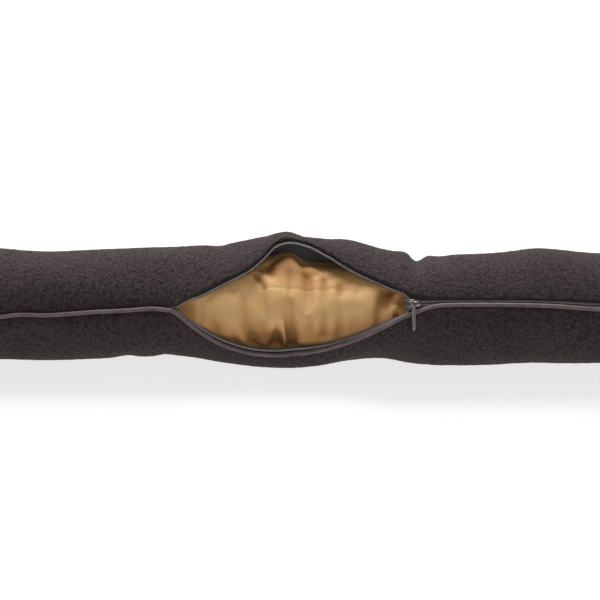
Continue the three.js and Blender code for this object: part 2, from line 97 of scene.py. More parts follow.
# The lips of the slit: the angle of each cloth edge, and how far it stands off the swollen tube.
LIPS = table(
    "x upper upper_lift lower lower_lift",
    (-122, 24, 0, 24, 0), (-115, 26.4, 0.5, 20.7, 0.5), (-108, 30, 1, 16.4, 1),
    (-101, 34.6, 1.5, 10.4, 1.5), (-87, 42.3, 2, -0.8, 2),
    (-69, 53.3, 3, -12.5, 2.5), (-46, 67.3, 4, -20.6, 3), (-32, 80.5, 4.5, -22.2, 3),
    (-22, 93, 3.5, -22.2, 3), (-9, 98, 3, -20.6, 3), (9, 95, 4, -18, 3), (23, 86, 4.5, -14.5, 3),
    (46, 70.5, 3.5, -5, 3), (73, 57.5, 2.5, 9, 2.5), (92, 48, 2, 20, 2), (103, 43, 1, 24.5, 1.5),
    (115, 41, 0.5, 29, 1), (130, 40.5, 0, 31.5, 0.5), (215, 40, 0, 31, 0.5), (275, 37, 0, 27, 0.5),
    (340, 36, 0, 27.5, 0.5), (362, 33.5, 0, 29, 0), (372, 31, 0, 31, 0),
)
# The pinch to the right of the opening with the ridge beside it, and the cover's other soft troughs.
COVER_FOLDS = table(
    "x angle depth along around",
    (107, 114, -8, 7, 60), (128, 112, -2, 8, 45), (96, 110, 2, 8, 50), (3, 120, -2.5, 8, 30),
    (-74, 115, -2, 9, 40), (-158, -55, -2, 10, 40), (-122, -60, -2, 9, 40),
)


def read(rows, column, x):
    """A column of a table at places along x, on a smooth curve through its rows."""
    xs, ys = rows["x"], rows[column]
    slopes = np.empty_like(ys)
    slopes[1:-1] = (ys[2:] - ys[:-2]) / (xs[2:] - xs[:-2])
    slopes[0] = (ys[1] - ys[0]) / (xs[1] - xs[0])
    slopes[-1] = (ys[-1] - ys[-2]) / (xs[-1] - xs[-2])
    b = np.clip(np.searchsorted(xs, x), 1, len(xs) - 1)
    span = xs[b] - xs[b - 1]
    u = np.clip((x - xs[b - 1]) / span, 0, 1)
    bend = (u**3 - 2 * u**2 + u) * slopes[b - 1] + (u**3 - u**2) * slopes[b]
    return ys[b - 1] + (ys[b] - ys[b - 1]) * u * u * (3 - 2 * u) + bend * span


def fade(angle, centre, spread):
    """How strongly something at one angle acts at another, down to nothing at the spread."""
    away = np.abs((angle - centre + 540) % 360 - 180)
    return np.where(away < spread, np.cos(np.clip(away / spread, 0, 1) * np.pi / 2) ** 2, 0)


def smooth(value, low, high):
    """A soft step from 0 at low to 1 at high."""
    u = np.clip((value - low) / (high - low), 0, 1)
    return u * u * (3 - 2 * u)


def folds(rows, x, angle):
    """The soft troughs and ridges of a table, added up."""
    total = np.zeros(np.broadcast(x, angle).shape)
    for at, centre, depth, along, around in zip(*rows.values()):
        total += depth * np.exp(-(((x - at) / along) ** 2)) * fade(angle, centre, around)
    return total


def plain_radius(angle):
    """The radius of the tube's plain oval section."""
    a = np.radians(angle)
    return 1 / np.hypot(np.cos(a) / HALF_WIDTH, np.sin(a) / HALF_HEIGHT)


def lying_radius(x, angle):
    """The radius of the tube as it lies, swollen and creased."""
    crown = read(BODY, "crown", x) * fade(angle, CROWN_ANGLE, CROWN_SPREAD)
    belly = read(BODY, "belly", x) * fade(angle, BELLY_ANGLE, BELLY_SPREAD)
    return plain_radius(angle) + crown + belly + folds(COVER_FOLDS, x, angle)


def end_scale(x):
    """Each end closes over its rounded length."""
    into = np.clip((np.abs(x) - (HALF_LENGTH - END_ROUND)) / END_ROUND, 0, 1)
    return (1 - into**END_FULLNESS) ** (1 / END_FULLNESS)


def place(x, angle, radius, floor=0.0):
    """Points of the lying tube at an angle and a radius, kept above the floor."""
    a = np.radians(angle)
    y = read(BODY, "sway", x) - radius * np.cos(a)
    z = np.maximum(AXIS_HEIGHT + radius * np.sin(a), floor)
    return np.stack(np.broadcast_arrays(x, y, z), -1)


def lips_at(x):
    """Where the two lips are along x. They meet in the seam outside the slit."""
    opened = (x > SLIT_START) & (x < SLIT_END)
    lips = {c: np.where(opened, read(LIPS, c, x), 0) for c in LIPS if c != "x"}
    for side in ("upper", "lower"):
        lips[side] = np.where(opened, lips[side], read(SEAM, "angle", x))
    middle = (lips["upper"] + lips["lower"]) / 2
    lips["gap"] = np.radians(lips["upper"] - lips["lower"]) * lying_radius(x, middle)
    lips["opened"] = opened
    lips["drawn"] = GROOVE * np.clip(1 - lips["gap"] / GROOVE_GAP, 0, 1)
    return lips


def cover_radius(x, angle, lips):
    """The radius of the cover's face, its raised lips with it."""
    lift = lips["upper_lift"] * fade(angle, lips["upper"], LIP_SPREAD)
    lift = lift + lips["lower_lift"] * fade(angle, lips["lower"], LIP_SPREAD)
    return lying_radius(x, angle) + lift


def unit(vectors):
    """The same vectors with a length of 1."""
    return vectors / np.maximum(np.linalg.norm(vectors, axis=-1, keepdims=True), 1e-9)


def outwards(grid):
    """The outward normals of a grid of points that runs along the tube and then round it."""
    return unit(np.cross(np.gradient(grid, axis=0), np.gradient(grid, axis=1)))


def noise_at(points, size):
    """Smooth noise from -1 to 1 at points, with lumps of about that size."""
    flat = points.reshape(-1, 3) / size
    return np.array([noise.noise(Vector(p)) for p in flat]).reshape(points.shape[:-1])


def nubs_at(points, size):
    """The rounded tops of a pebbled pile at points, from 0 between nubs to about 1."""
    flat = points.reshape(-1, 3) / size
    near = np.array([noise.voronoi(Vector(p))[0][0] for p in flat])
    return np.clip(1 - 1.3 * near, 0, 1).reshape(points.shape[:-1])


def steps_between(places, steps):
    """Places along x, each stretch between two of them cut into steps of about the given length."""
    runs = [
        np.linspace(a, b, max(2, round((b - a) / step) + 1))[:-1]
        for a, b, step in zip(places, places[1:], steps)
    ]
    return np.concatenate(runs + [[places[-1]]])


round_off = np.array([0, 0.12, 0.4, 0.9, 1.6, 2.6, 4, 6, 8.5, 11.5, 15, 19, 23.5, 28.5])
straight = steps_between((-STRAIGHT_HALF, -FINE_HALF, FINE_HALF, STRAIGHT_HALF),
                         (COARSE_STEP, FINE_STEP, COARSE_STEP))
slit_ends = np.array([SLIT_START, SLIT_END], float)
straight = straight[np.min(np.abs(straight[:, None] - slit_ends), axis=1) > 0.6]
stations = np.sort(
    np.concatenate([round_off - HALF_LENGTH, straight, slit_ends, HALF_LENGTH - round_off])
)
x = stations[:, None]
lips = {key: value[:, None] for key, value in lips_at(stations).items()}
rim = CLOTH / 2 * smooth(lips["gap"], 0, RIM_GAP)
pull_back = np.degrees(rim / ROUND_RADIUS)


def cover_angles(columns):
    """The angles of a section from the upper lip over the top and round to the lower lip."""
    share = np.linspace(0, 1, columns + 1)[None, :]
    share = share - LIP_CROWDING * np.sin(2 * np.pi * share) / (2 * np.pi)
    start = lips["upper"] + pull_back
    return start + (lips["lower"] + 360 - pull_back - start) * share


def from_lips(angle):
    """How far along the cloth a place is from the nearer lip, and from the upper one."""
    from_upper = np.radians(angle - lips["upper"]) * ROUND_RADIUS
    from_lower = np.radians(lips["lower"] + 360 - angle) * ROUND_RADIUS
    return np.minimum(from_upper, from_lower), from_upper < from_lower


def cover_layer(columns, groove_reach):
    """A layer of the cover without its pile: points, and the distance and side of the lip."""
    angle = cover_angles(columns)
    away, above = from_lips(angle)
    dip = lips["drawn"] * np.clip(1 - away / groove_reach, 0, 1) ** 2
    scale = end_scale(x)
    gathered = smooth(np.abs(x), HALF_LENGTH - GATHER_FROM, HALF_LENGTH - GATHER_TO) * (scale > 0.02)
    gather = np.cos(np.radians(GATHERS * angle + 40 * np.sin(np.radians(2 * angle)))) - 0.3
    radius = cover_radius(x, angle, lips) - dip - GATHER_DEPTH * gathered * (1 - gather)
    slack = noise_at(place(x, angle, plain_radius(angle)), SLACK_SIZE)
    radius = radius + SLACK_DEPTH * (slack - 0.35)
    return place(x, angle, radius * scale), away, above


face, away, above = cover_layer(FACE_COLUMNS, GROOVE_REACH)
normals = outwards(face)
# The seam puckers the cloth beside it, and the pile stands up in nubs.
row = np.stack([stations, 0 * stations, 0 * stations], -1)
pucker_upper = noise_at(row, 9.0)[:, None] + 0.5 * noise_at(row + 300, 5.0)[:, None]
pucker_lower = noise_at(row + 700, 10.0)[:, None] + 0.5 * noise_at(row + 900, 5.5)[:, None]
pucker = np.where(above, pucker_upper, pucker_lower) * np.exp(-((away / PUCKER_REACH) ** 2))
pucker = pucker * smooth(away, 0, 4)
nubs = nubs_at(face, NUB_SIZE) + 0.4 * noise_at(face, CURL_SIZE)
at_pole = (np.abs(x) > HALF_LENGTH - 1.5) * 1.0
face = face + normals * (PUCKER_DEPTH * pucker + NUB_DEPTH * (nubs - 0.35) * (1 - at_pole))[..., None]
face[..., 2] = np.maximum(face[..., 2], 0.0)

inside, _, _ = cover_layer(INSIDE_COLUMNS, INSIDE_GROOVE_REACH)
inside = inside - CLOTH * outwards(inside)
inside[..., 2] = np.maximum(inside[..., 2], CLOTH)
shorter = (HALF_LENGTH - CLOTH) / HALF_LENGTH
inside[..., 0] = stations[:, None] * shorter


def turned_edge(edge, back, inner):
    """The rounded edge of a lip, from the face to the inside."""
    lie = unit(edge - back)
    turn = np.linspace(0, np.pi, RIM_STEPS + 2)[1:-1, None]
    middle, half = (edge + inner) / 2, (edge - inner) / 2
    out = lie[:, None] * rim[:, None] * np.sin(turn)
    return middle[:, None] + half[:, None] * np.cos(turn) + out


class Weave:
    """Collects points and faces into one mesh, with shared points where rows close up."""

    def __init__(self):
        self.points = []
        self.faces = []

    def add(self, points):
        """Adds points and gives their numbers."""
        start = len(self.points)
        self.points.extend(points)
        return list(range(start, start + len(points)))

    def quad(self, *corners):
        """Adds a face, without the corners that fall together."""
        kept = [c for k, c in enumerate(corners) if c != corners[k - 1]]
        if len(set(kept)) > 2:
            self.faces.append(kept)


cover_mesh = Weave()
last = len(stations) - 1
rows = []
for i in range(last + 1):
    opened = bool(lips["opened"][i, 0])
    outer, inner = face[i], inside[i]
    if not opened:
        outer[0] = outer[-1] = (outer[0] + outer[-1]) / 2
        inner[0] = inner[-1] = (inner[0] + inner[-1]) / 2
    if i in (0, last):
        outer_row = cover_mesh.add([outer[0]]) * (FACE_COLUMNS + 1)
        inner_row = cover_mesh.add([inner[0]]) * (INSIDE_COLUMNS + 1)
    elif opened:
        outer_row, inner_row = cover_mesh.add(outer), cover_mesh.add(inner)
    else:
        outer_row, inner_row = cover_mesh.add(outer[:-1]), cover_mesh.add(inner[:-1])
        outer_row.append(outer_row[0])
        inner_row.append(inner_row[0])
    rows.append([outer_row, inner_row, None, None])
edges = [
    turned_edge(face[:, 0], face[:, 1], inside[:, 0]),
    turned_edge(face[:, -1], face[:, -2], inside[:, -1]),
]
slit_rows = np.flatnonzero(lips["opened"][:, 0])
for i in range(slit_rows[0] - 1, slit_rows[-1] + 2):
    if lips["opened"][i, 0]:
        rims = [cover_mesh.add(edge[i]) for edge in edges]
    else:
        rims = [cover_mesh.add(edges[0][i])] * 2
    outer_row, inner_row = rows[i][:2]
    rows[i][2] = [outer_row[0], *rims[0], inner_row[0]]
    rows[i][3] = [outer_row[-1], *rims[1], inner_row[-1]]
for a, b in zip(rows, rows[1:]):
    for j in range(FACE_COLUMNS):
        cover_mesh.quad(a[0][j], b[0][j], b[0][j + 1], a[0][j + 1])
    if a[2] and b[2]:
        for j in range(RIM_STEPS + 1):
            cover_mesh.quad(a[2][j], a[2][j + 1], b[2][j + 1], b[2][j])
            cover_mesh.quad(a[3][j], b[3][j], b[3][j + 1], a[3][j + 1])

face_count = len(cover_mesh.faces)
for a, b in zip(rows, rows[1:]):
    for j in range(INSIDE_COLUMNS):
        cover_mesh.quad(a[1][j], a[1][j + 1], b[1][j + 1], b[1][j])


def node(tree, kind, inputs=None, **settings):
    """A shader node with its settings, and its inputs as values or as other nodes' outputs."""
    made = tree.nodes.new("ShaderNode" + kind)
    for name, value in settings.items():
        setattr(made, name, value)
    for name, value in (inputs or {}).items():
        if isinstance(value, bpy.types.NodeSocket):
            tree.links.new(value, made.inputs[name])
        else:
            made.inputs[name].default_value = value
    return made


def math_node(tree, operation, *values):
    """The sum, product or other result of one to three values."""
    return node(tree, "Math", dict(enumerate(values)), operation=operation).outputs[0]


def ramp(tree, value, *stops):
    """A colour for each value, between stops of (place, red, green, blue)."""
    made = node(tree, "ValToRGB", {"Fac": value})
    stops_made = made.color_ramp.elements
    while len(stops_made) < len(stops):
        stops_made.new(0.5)
    for element, (place_at, *colour) in zip(stops_made, stops):
        element.position = place_at
        element.color = (*colour, 1)
    return made.outputs["Color"]


def finish_of(name, **constants):
    """A finish with one Principled shader, whose fixed values sit on its own sockets."""
    finish = bpy.data.materials.new(name)
    finish.use_nodes = True
    shader = finish.node_tree.nodes["Principled BSDF"]
    for socket, value in constants.items():
        shader.inputs[socket.replace("_", " ")].default_value = value
    return finish, finish.node_tree, shader


def link(tree, shader, socket, value):
    """Feeds a value into one socket of a shader."""
    tree.links.new(value, shader.inputs[socket])


def fleece_finish():
    """Short pile rolled into pebbles of 2 to 3 mm with a fine fuzz. Its colour is darker between the
    pebbles, painted shade of their hollows, and varies in soft patches.
    """
    finish, tree, shader = finish_of("charcoal_fleece", Roughness=0.95, Sheen_Weight=0.06,
                                     Sheen_Roughness=0.5, Sheen_Tint=(0.8, 0.68, 0.68, 1),
                                     Specular_IOR_Level=0.1)
    at = node(tree, "TexCoord").outputs["Object"]
    sway = node(tree, "TexNoise", {"Vector": at, "Scale": 260.0, "Detail": 2.0}).outputs["Color"]
    bent = node(tree, "MixRGB", {"Fac": 0.0024, "Color1": at, "Color2": sway}, blend_type="ADD")
    pebble = node(tree, "TexVoronoi", {"Vector": bent.outputs[0], "Scale": 370.0, "Smoothness": 0.6},
                  feature="SMOOTH_F1").outputs["Distance"]
    curl = node(tree, "TexNoise", {"Vector": at, "Scale": 420.0, "Detail": 2.0}).outputs["Fac"]
    fuzz = node(tree, "TexNoise", {"Vector": at, "Scale": 1900.0, "Detail": 3.0}).outputs["Fac"]
    patch = node(tree, "TexNoise", {"Vector": at, "Scale": 30.0, "Detail": 3.0}).outputs["Fac"]
    height = math_node(tree, "MULTIPLY_ADD", pebble, -1.2, 1.0)
    height = math_node(tree, "MULTIPLY_ADD", curl, 0.7, height)
    height = math_node(tree, "MULTIPLY_ADD", fuzz, 0.5, height)
    shade = math_node(tree, "MULTIPLY_ADD", patch, 0.3, height)
    # Painted shade: the colour darkens where the pebbles are low, in the hollows between them.
    colour = ramp(tree, math_node(tree, "MULTIPLY_ADD", shade, 0.8, -0.4),
                  (0.2, 0.0205, 0.0143, 0.0147), (0.55, 0.035, 0.0257, 0.0263),
                  (0.95, 0.0545, 0.0412, 0.042))
    link(tree, shader, "Base Color", colour)
    bump = node(tree, "Bump", {"Strength": 0.6, "Distance": 0.0009, "Height": height})
    link(tree, shader, "Normal", bump.outputs["Normal"])
    return finish


def backing_finish():
    """The fleece's knitted back, smooth, greyer and much lighter than its pile: partly its own colour,
    partly painted light that lifts the shaded inside of the cover.
    """
    finish, tree, shader = finish_of("knitted_back", Roughness=0.9)
    at = node(tree, "TexCoord").outputs["Object"]
    wales = node(tree, "TexWave", {"Vector": at, "Scale": 260.0, "Distortion": 0.8}).outputs["Fac"]
    courses = node(tree, "TexWave", {"Vector": at, "Scale": 300.0, "Distortion": 0.8},
                   bands_direction="Y").outputs["Fac"]
    knit = math_node(tree, "MULTIPLY", wales, courses)
    # Partly painted light: a light grey, well above the pile, lifts the inside of the cover where little
    # light gets in.
    colour = ramp(tree, knit, (0.0, 0.24, 0.245, 0.235), (1.0, 0.4, 0.405, 0.39))
    link(tree, shader, "Base Color", colour)
    bump = node(tree, "Bump", {"Strength": 0.3, "Distance": 0.0004, "Height": knit})
    link(tree, shader, "Normal", bump.outputs["Normal"])
    return finish


def make_piece(name, points, faces, finish, slot):
    """A smooth piece from points in millimetres, which rides with the whole part."""
    mesh = bpy.data.meshes.new(name)
    mesh.from_pydata((np.asarray(points) * MM).tolist(), [], faces)
    shaped = bmesh.new()
    shaped.from_mesh(mesh)
    bmesh.ops.recalc_face_normals(shaped, faces=shaped.faces)
    shaped.to_mesh(mesh)
    shaped.free()
    mesh.shade_smooth()
    mesh.materials.append(finish)
    piece = bpy.data.objects.new(name, mesh)
    bpy.context.scene.collection.objects.link(piece)
    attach(piece, "root")
    return piece


cover = make_piece("fleece_cover", cover_mesh.points, cover_mesh.faces, fleece_finish(), "fleece")
cover.data.materials.append(backing_finish())
on_inside = np.arange(len(cover_mesh.faces)) >= face_count
cover.data.polygons.foreach_set("material_index", on_inside.astype(np.int32))
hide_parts("cover")


# Seam piping
# A cord covered in a bias strip of dark satin, sewn into the front seam along its whole length.
# In the seam it lies in the groove, and along the slit it edges the lower lip.
PIPING_RADIUS = 2
PIPING_SIDES = 14
PIPING_END = 421
PIPING_SINK = 0.9
PIPING_CLEAR = 0.15
PIPING_STEP = 1.8
PIPING_TAPER = 8
PIPING_PUCKER, PIPING_SWELL = 0.25, 0.03
SEAM_GAP = 4
LIE_BACK = 8.7
FACING_GAP, PARTED_GAP = 24, 40


def lip_frame(x, side):
    """How one lip lies: its edge, the way its cloth runs off it, and the way across the slit."""
    lips = lips_at(x)
    back = LIE_BACK if side == "upper" else -LIE_BACK

    def point(angle, drawn=0):
        return place(x, angle, (cover_radius(x, angle, lips) - drawn) * end_scale(x))

    edge = point(lips[side], lips["drawn"])
    other = point(lips["lower" if side == "upper" else "upper"], lips["drawn"])
    lie = unit(edge - point(lips[side] + back))
    gap = np.linalg.norm(other - edge, axis=-1)
    parted = smooth(gap, FACING_GAP, PARTED_GAP)[:, None]
    out = unit(unit(other - edge) * (1 - parted) + lie * parted)
    turn = -1 if side == "upper" else 1
    return {"edge": edge, "lie": lie, "out": out, "gap": gap, "turn": turn}


def by_lip(lip, reach, height):
    """Points at a reach past a lip's edge, back under it if below 0, and a height off the cloth."""
    reach = np.broadcast_to(reach, lip["gap"].shape)[:, None]
    way = np.where(reach < 0, lip["lie"], lip["out"])
    off = lip["turn"] * np.stack([0 * way[:, 0], -way[:, 2], way[:, 1]], -1)
    return lip["edge"] + reach * way + height * off


def sweep(path, up, section):
    """Rings of a section carried along a path, its second measure along up."""
    along = unit(np.gradient(path, axis=0))
    across = unit(np.cross(along, up))
    up = np.cross(across, along)
    return path[:, None] + section[..., :1] * across[:, None] + section[..., 1:] * up[:, None]


def circle(sides, radius):
    """The corners of a round section."""
    turn = np.arange(sides) * 2 * np.pi / sides
    return radius * np.stack([np.cos(turn), np.sin(turn)], -1)


def loft(rings):
    """The points and faces of a closed skin through rings of points."""
    count, sides = rings.shape[:2]
    i, j = np.meshgrid(np.arange(count - 1), np.arange(sides), indexing="ij")
    k = (j + 1) % sides
    i, j, k = i.ravel() * sides, j.ravel(), k.ravel()
    quads = np.stack([i + j, i + k, i + sides + k, i + sides + j], -1).tolist()
    ends = [list(range(sides)), list(range((count - 1) * sides, count * sides))]
    return rings.reshape(-1, 3), quads + ends


x_piping = steps_between((-PIPING_END, PIPING_END), (PIPING_STEP,))
lower_lip = lip_frame(x_piping, "lower")
axis = place(x_piping, 0.0, 0.0)
outward = unit(lower_lip["edge"] - axis)
piping_reach = np.minimum(PIPING_RADIUS + PIPING_CLEAR, lower_lip["gap"] / 2)
sunk = lips_at(x_piping)["drawn"][:, None]
along_slit = by_lip(lower_lip, piping_reach, -PIPING_SINK)
along_seam = lower_lip["edge"] + outward * (sunk - PIPING_SINK)
in_slit = smooth(lower_lip["gap"], 0, SEAM_GAP)[:, None]
piping_path = along_seam * (1 - in_slit) + (along_slit + outward * sunk) * in_slit
puckered = noise_at(np.stack([x_piping, 0 * x_piping, 0 * x_piping], -1), 11.0)
piping_path = piping_path + outward * PIPING_PUCKER * puckered[:, None]
taper = np.sqrt(np.clip((PIPING_END - np.abs(x_piping) + 0.2) / PIPING_TAPER, 0.02, 1))
swell = 1 + PIPING_SWELL * noise_at(np.stack([x_piping, 0 * x_piping + 50, 0 * x_piping], -1), 6.0)
piping_rings = sweep(
    piping_path, outward, circle(PIPING_SIDES, PIPING_RADIUS)[None] * (taper * swell)[:, None, None]
)


def satin_finish():
    """Dark taupe satin cut on the bias, so that its fine ribs run slantwise round the cord."""
    finish, tree, shader = finish_of("bias_satin", Roughness=0.46, Specular_IOR_Level=0.3,
                                     Sheen_Weight=0.08, Sheen_Roughness=0.4, Sheen_Tint=(0.8, 0.72, 0.7, 1))
    at = node(tree, "TexCoord").outputs["Object"]
    ribs = node(tree, "TexWave", {"Vector": at, "Scale": 520.0, "Distortion": 0.6, "Detail": 1.0},
                bands_direction="DIAGONAL").outputs["Fac"]
    wear = node(tree, "TexNoise", {"Vector": at, "Scale": 90.0, "Detail": 3.0}).outputs["Fac"]
    tone = math_node(tree, "MULTIPLY_ADD", ribs, 0.25, wear)
    colour = ramp(tree, tone, (0.35, 0.07, 0.05, 0.05), (0.95, 0.14, 0.104, 0.105))
    link(tree, shader, "Base Color", colour)
    bump = node(tree, "Bump", {"Strength": 0.35, "Distance": 0.0002, "Height": ribs})
    link(tree, shader, "Normal", bump.outputs["Normal"])
    return finish


piping = make_piece("seam_piping", *loft(piping_rings), satin_finish(), "piping")
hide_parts("piping")


# Zip tapes and coils
# Two woven tapes sewn in behind the lips, each with a coil of grey monofilament along its edge.
# The coils stand apart along the open slit and lie in mesh to the right of the slider.
TAPE_START, TAPE_END = -121, 358
COIL_START = -115
TAPE_DEPTH = 3.7
TAPE_THICKNESS = 0.9
TAPE_UNDER = 4.5
TAPE_FACE, TAPE_BACK = 0.1, 0.8
TAPE_STEP = 2.4
TAPE_RIPPLE, RIPPLE_SIZE = 0.25, 13.0
UPPER_REACH, LOWER_REACH = 3.6, 6.2
DRAWN_IN, DRAWN_IN_FROM, DRAWN_IN_TO = 1.3, -15, 35
LOWER_SHARE = 0.6
CLOSING_START, CLOSING_END = 91, 105
MESH_GAP = 0.3
COIL_PITCH = 1.7
COIL_STEPS, COIL_SIDES = 8, 5
COIL_WIRE = 0.38
COIL_ACROSS, COIL_HIGH = 0.84, 0.72
COIL_SET_IN = 1.22
COIL_RAISED = 0.36
TAPE_SET_IN = 0.1


def tape_reach(x, lip, side):
    """How far a tape's coil stands out of its lip: apart while open, in mesh past the slider."""
    closing = smooth(x, CLOSING_START, CLOSING_END)
    lower = lip["gap"] * LOWER_SHARE
    upper = lip["gap"] - lower - MESH_GAP
    lower_most = LOWER_REACH - DRAWN_IN * smooth(x, DRAWN_IN_FROM, DRAWN_IN_TO)
    full, most = (lower, lower_most) if side == "lower" else (upper, UPPER_REACH)
    return np.minimum(most, full) * (1 - closing) + full * closing


def tape_finish():
    """Dark brown tape in a close herringbone weave."""
    finish, tree, shader = finish_of("woven_tape", Roughness=0.8, Sheen_Weight=0.15)
    at = node(tree, "TexCoord").outputs["Object"]
    ribs = node(tree, "TexWave", {"Vector": at, "Scale": 420.0, "Distortion": 1.2, "Detail": 2.0,
                                  "Detail Scale": 3.0}, bands_direction="X").outputs["Fac"]
    picks = node(tree, "TexWave", {"Vector": at, "Scale": 360.0, "Distortion": 0.8},
                 bands_direction="DIAGONAL").outputs["Fac"]
    weave = math_node(tree, "MULTIPLY", ribs, picks)
    colour = ramp(tree, weave, (0.0, 0.022, 0.017, 0.017), (0.8, 0.055, 0.044, 0.043))
    link(tree, shader, "Base Color", colour)
    bump = node(tree, "Bump", {"Strength": 0.5, "Distance": 0.0002, "Height": weave})
    link(tree, shader, "Normal", bump.outputs["Normal"])
    return finish


def coil_finish():
    """Grey monofilament, half gloss, a little scuffed."""
    finish, tree, shader = finish_of("grey_coil", Roughness=0.38, Specular_IOR_Level=0.6)
    at = node(tree, "TexCoord").outputs["Object"]
    scuff = node(tree, "TexNoise", {"Vector": at, "Scale": 320.0, "Detail": 2.0}).outputs["Fac"]
    colour = ramp(tree, scuff, (0.3, 0.29, 0.262, 0.26), (0.75, 0.46, 0.42, 0.415))
    link(tree, shader, "Base Color", colour)
    return finish


woven, monofilament = tape_finish(), coil_finish()
zip_trim = []
for side in ("upper", "lower"):
    x_tape = steps_between((TAPE_START, TAPE_END), (TAPE_STEP,))
    lip = lip_frame(x_tape, side)
    reach = tape_reach(x_tape, lip, side) - TAPE_SET_IN
    middle = -TAPE_DEPTH - TAPE_THICKNESS / 2
    line = np.stack([x_tape, 0 * x_tape, 0 * x_tape + len(side)], -1)
    ripple = TAPE_RIPPLE * noise_at(line, RIPPLE_SIZE)[:, None]
    across = [-TAPE_UNDER, -3.0, -1.5, 0 * reach, reach * 0.35, reach * 0.7, reach]
    skins = []
    for height in (middle - TAPE_FACE, middle - TAPE_BACK):
        skins.append([by_lip(lip, r, height + ripple * (k > 2)) for k, r in enumerate(across)])
    tape_rings = np.stack(skins[0] + skins[1][::-1], 1)
    tape = make_piece(f"{side}_zip_tape", *loft(tape_rings), woven, "zip_tape")
    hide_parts(f"zip_tape_{side}")

    turns = np.arange(COIL_START, TAPE_END - 1, COIL_PITCH / COIL_STEPS)
    lip = lip_frame(turns, side)
    reach = tape_reach(turns, lip, side) - COIL_SET_IN
    angle = 2 * np.pi * turns / COIL_PITCH + (np.pi if side == "lower" else 0)
    coil_height = middle + COIL_RAISED + (COIL_HIGH * np.sin(angle))[:, None]
    wire = by_lip(lip, reach + COIL_ACROSS * np.cos(angle), coil_height)
    wire_section = circle(COIL_SIDES, COIL_WIRE)[None]
    coil_rings = sweep(wire, np.broadcast_to([1.0, 0.0, 0.0], wire.shape), wire_section)
    coil = make_piece(f"{side}_zip_coil", *loft(coil_rings), monofilament, "zip_tape")
    zip_trim += [tape, coil]


# Zip slider
# A die-cast slider: two plates with turned-in sides, a post that parts the coils and an arched
# bridge for the pull. It sits on the coils where they close.
SLIDER_X = 101
SLIDER_STATION = 104
SLIDER_LENGTH, SLIDER_WIDE, SLIDER_NARROW = 13, 7.5, 5.5
PLATE, CHANNEL, PLATE_BEVEL = 1.3, 3.3, 0.35
WALL_DROP, WALL_BITE, WALL_BEVEL = 0.75, 0.1, 0.15
POST_WIDTH, POST_LENGTH, POST_NOSE = 2, 2.4, 0.8
POST_BITE, POST_BEVEL = 0.2, 0.2
BRIDGE_SPAN, BRIDGE_HEIGHT, BRIDGE_BAR = 10, 5, 1.35


def plated_finish(name, dark, light):
    """Grey plated metal, brushed by use, and lighter along its sharp edges: partly wear, partly a painted
    highlight.
    """
    finish, tree, shader = finish_of(name, Metallic=0.9)
    at = node(tree, "TexCoord").outputs["Object"]
    edge = node(tree, "NewGeometry").outputs["Pointiness"]
    # Partly painted highlight, partly wear: the colour is lighter where the edges are sharp.
    edge_wear_and_highlight = ramp(tree, edge, (0.5, 0.0, 0.0, 0.0), (0.6, 1.0, 1.0, 1.0))
    grain = node(tree, "TexNoise", {"Vector": at, "Scale": 700.0, "Detail": 4.0}).outputs["Fac"]
    tone = math_node(tree, "MULTIPLY_ADD", edge_wear_and_highlight, 0.5, math_node(tree, "MULTIPLY", grain, 0.5))
    colour = ramp(tree, tone, (0.15, *dark), (0.9, *light))
    link(tree, shader, "Base Color", colour)
    link(tree, shader, "Roughness", math_node(tree, "MULTIPLY_ADD", grain, 0.3, 0.2))
    bump = node(tree, "Bump", {"Strength": 0.2, "Distance": 0.00005, "Height": grain})
    link(tree, shader, "Normal", bump.outputs["Normal"])
    return finish


gunmetal = plated_finish("gunmetal", (0.07, 0.064, 0.062), (0.3, 0.285, 0.28))
at_slider = np.array([float(SLIDER_STATION)])
lower_lip, upper_lip = lip_frame(at_slider, "lower"), lip_frame(at_slider, "upper")
chain = by_lip(lower_lip, lower_lip["gap"] * LOWER_SHARE, -TAPE_DEPTH - TAPE_THICKNESS / 2)[0]
up_zip = unit(upper_lip["edge"] - lower_lip["edge"])[0]
out_zip = np.array([0, -up_zip[2], up_zip[1]])
slider_place = Matrix((
    (1, up_zip[0], out_zip[0], SLIDER_X),
    (0, up_zip[1], out_zip[1], chain[1]),
    (0, up_zip[2], out_zip[2], chain[2]),
    (0, 0, 0, 1),
))


def bevelled_block(shaped, outline, low, high, bevel):
    """A flat block with rounded edges, from an outline and its two heights."""
    bottom = [shaped.verts.new((px, py, low)) for px, py in outline]
    top = [shaped.verts.new((px, py, high)) for px, py in outline]
    made = [shaped.faces.new(bottom[::-1]), shaped.faces.new(top)]
    count = len(outline)
    for k in range(count):
        n = (k + 1) % count
        made.append(shaped.faces.new((bottom[k], bottom[n], top[n], top[k])))
    rims = [e for f in made[:2] for e in f.edges]
    bmesh.ops.bevel(shaped, geom=rims, offset=bevel, segments=3, profile=0.6, affect="EDGES")


def curve_through(points, count):
    """Points along a smooth curve through the given ones."""
    points = np.array(points, float)
    along = np.linspace(0, len(points) - 1, count)
    slopes = np.gradient(points, axis=0)
    k = np.clip(along.astype(int), 0, len(points) - 2)
    u = (along - k)[:, None]
    ease = u * u * (3 - 2 * u)
    bend = (u**3 - 2 * u**2 + u) * slopes[k] + (u**3 - u**2) * slopes[k + 1]
    return points[k] * (1 - ease) + points[k + 1] * ease + bend


def metal_piece(name, shaped, placed, finish, node_name):
    """A metal piece from a mesh in its own frame, in millimetres."""
    shaped.transform(placed)
    bmesh.ops.recalc_face_normals(shaped, faces=shaped.faces)
    points = [v.co[:] for v in shaped.verts]
    shaped.verts.index_update()
    faces = [[v.index for v in f.verts] for f in shaped.faces]
    shaped.free()
    piece = make_piece(name, points, faces, finish, "zip_metal")
    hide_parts(node_name)
    return piece


